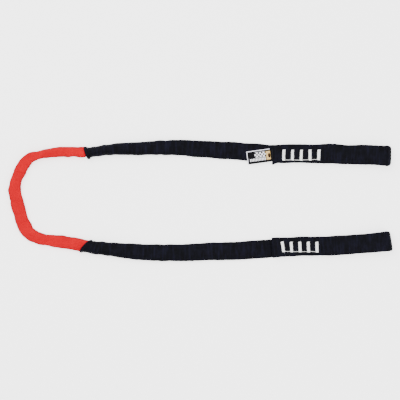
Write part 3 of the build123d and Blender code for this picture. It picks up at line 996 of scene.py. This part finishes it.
class SLING_OT_label(bpy.types.Operator):
    """Small folded label, sewn into the seam of the upper eye"""
    bl_idname = "sling.label"
    bl_label = "Label"

    def execute(self, context):
        material = label_material()
        joint = JOINTS["label_flip"]
        pivot = np.array(joint["pos_m"], float)
        across = np.array(joint["axis"], float)
        along = np.array([-across[1], across[0], 0])
        # it lies a little more askew than its seam
        turn = math.radians(2.2)
        along, across = (math.cos(turn) * along - math.sin(turn) * across,
                         math.cos(turn) * across + math.sin(turn) * along)
        length, width, bend = 35.0 * MM, 19.4 * MM, 0.225 * MM
        # along the strip: the lower leaf out to the fold, half round it, and the upper leaf back
        leaf = np.linspace(0, length - bend, 40)
        half_turn = np.linspace(0, math.pi, 9)[1:-1]
        turned = np.concatenate([0 * leaf, half_turn, 0 * leaf + math.pi])[:, None]
        u = np.concatenate([leaf, length - bend + bend * np.sin(half_turn), leaf[::-1]])[:, None]
        v = np.linspace(-width / 2, width / 2, 26)[None]
        rise = 0.9 * MM * (u / length) ** 1.2 + 0.5 * MM * np.sin(math.pi * u / length)
        droop = -1.0 * MM * np.clip((-v - 5 * MM) / (4.5 * MM), 0, 1) ** 2 * (0.3 + u / length)
        curl = 0.5 * MM * hump(u, length, 5 * MM) * np.cos(math.pi * v / width)
        sheet = pivot + u[..., None] * along + (v[..., None] - 0.9 * MM) * across
        sheet[..., 2] += 0.2 * MM + bend * (1 - np.cos(turned)) + rise + droop + curl
        half = 0.16 * MM * (np.cos(turned) * np.array([0, 0, 1.0]) - np.sin(turned) * along)
        # only the upper leaf carries the pattern; the map sends the lower one past its end
        across_uv = v + width / 2 + 0 * u
        along_uv = np.where(turned > math.pi / 2, length - u, 50 * MM) + 0 * v
        mesh = folded_strip("label_flap", sheet, half[:, None], along_uv, across_uv)
        piece = add_piece(mesh, material)
        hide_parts("label")
        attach(piece, "label")

        edge = frame["nodes"]["label_sewn_edge"]
        edge.data.materials.clear()
        edge.data.materials.append(plain_label_material())
        return {"FINISHED"}


def folded_strip(name, sheet, half, u, v):
    """A slab from a sheet of middle points: its two faces stand half a thickness off the middle,
    along each row's own normal, and its rim rows close them."""
    rows, columns = sheet.shape[:2]
    grid = np.concatenate([sheet + half, (sheet - half)[:, ::-1]], axis=1)
    steps = 2 * columns
    row, place = quad_corners(rows - 1, steps)
    faces = (row * steps + place % steps).reshape(-1, 4)
    pair = np.arange(columns - 1)
    first = np.stack([pair + 1, pair, steps - 1 - pair, steps - 2 - pair], 1)
    last = first[:, [1, 0, 3, 2]] + (rows - 1) * steps
    every = np.concatenate([faces, first, last])
    flat = np.stack([u, v], -1)
    flat = np.concatenate([flat, flat[:, ::-1]], axis=1).reshape(-1, 2)
    return woven_mesh(name, grid, every.tolist(), flat[every.ravel()])


class SLING_OT_core(bpy.types.Operator):
    """Load core: five bundles of yarn through the cover, the sleeves and the eyes"""
    bl_idname = "sling.core"
    bl_label = "Load core"

    def execute(self, context):
        material = yarn_material()
        radius = context.scene.sling_sizes.yarn_diameter / 2
        rings = cover_rings()
        centres = rings.mean(1)
        half_widths = np.linalg.norm(rings[:, 0] - rings[:, 36], axis=1) / 2
        _, along, places = cover_line()
        middle = int(np.searchsorted(along, places[MEETING]))
        for side in SIDES:
            points, width, thick, _, lower_count = sleeve_path(side)
            # half of the bend, then the sleeve as far as the middle of the leg
            step = slice(middle, None, -4 if side == "upper" else 4)
            split = int(np.searchsorted(points[:300, 0], -0.02))
            inside = int(np.searchsorted(points[:60, 0], centres[step][-1, 0] + 3 * MM))
            sleeve = slice(inside, split, 4)
            path = np.concatenate([centres[step], points[sleeve]])
            room = np.concatenate([half_widths[step], width[sleeve] / 2])
            tall = np.concatenate([np.full(len(centres[step]), 14 * MM), thick[sleeve]])
            mesh = bundles(f"{side}_core_in_leg", path, left_of(directions(path)), room, tall, radius)
            piece = add_piece(mesh, material)
            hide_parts("bend_yarns", f"{side}_yarns")
            bend_at_swing(piece)

            rest = slice(split, len(points) - 3, 3)
            left = webbing_axes(side, points, lower_count)[1]
            mesh = bundles(f"{side}_core_in_eye", points[rest], left[rest], width[rest] / 2,
                           thick[rest], radius, side)
            piece = add_piece(mesh, material)
            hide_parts(f"{side}_eye_yarns")
            bend_at_flex(piece)
        return {"FINISHED"}


def bundles(name, centre, left, half_room, tall, radius, eye=None):
    """Five yarn bundles: a ring in the round tube that opens into a row as it flattens. In an
    eye they follow its tip."""
    up = np.cross(directions(centre), left)
    ring = sorted((math.cos(a), math.sin(a)) for a in np.radians(90 + 72 * np.arange(5)))
    row = np.linspace(-1, 1, 5)
    flat = np.clip((half_room * 2 - tall) / (14 * MM), 0, 1)
    spread = np.minimum(half_room - 1.3 * MM - radius, 8.8 * MM)
    stack = np.clip(tall / 2 - 1.3 * MM - radius, 0, 2.8 * MM)
    meshes = []
    for (ring_x, ring_y), row_x in zip(ring, row):
        sideways = spread * ((1 - flat) * ring_x + flat * row_x)
        upwards = stack * (1 - flat) * ring_y
        path = centre + sideways[:, None] * left + upwards[:, None] * up
        path = slanted_tip(eye, path) if eye else path
        meshes.append(thread_mesh("bundle", path, radius, 10))
    return merged(name, meshes)


class SLING_PT_pieces(bpy.types.Panel):
    """Lists the pieces of the sling"""
    bl_idname = "SLING_PT_pieces"
    bl_label = "Round sling"
    bl_space_type = "VIEW_3D"
    bl_region_type = "UI"
    bl_category = "Sling"

    def draw(self, context):
        for group in (context.scene.sling_sizes, context.scene.sling_colours):
            for name in group.__annotations__:
                self.layout.prop(group, name)
        for operator in OPERATORS:
            self.layout.operator(operator.bl_idname)


OPERATORS = (SLING_OT_stage, SLING_OT_cover, SLING_OT_webbing, SLING_OT_hems,
             SLING_OT_bar_tacks, SLING_OT_jump_threads, SLING_OT_label, SLING_OT_core)
CLASSES = (SlingSizes, SlingColours, *OPERATORS, SLING_PT_pieces)


def register():
    for item in CLASSES:
        bpy.utils.register_class(item)
    bpy.types.Scene.sling_sizes = bpy.props.PointerProperty(type=SlingSizes)
    bpy.types.Scene.sling_colours = bpy.props.PointerProperty(type=SlingColours)


def unregister():
    del bpy.types.Scene.sling_colours
    del bpy.types.Scene.sling_sizes
    for item in reversed(CLASSES):
        bpy.utils.unregister_class(item)


def main():
    register()
    for operator in OPERATORS:
        getattr(bpy.ops.sling, operator.bl_idname.split(".")[1])()


if __name__ == "__main__":
    main()
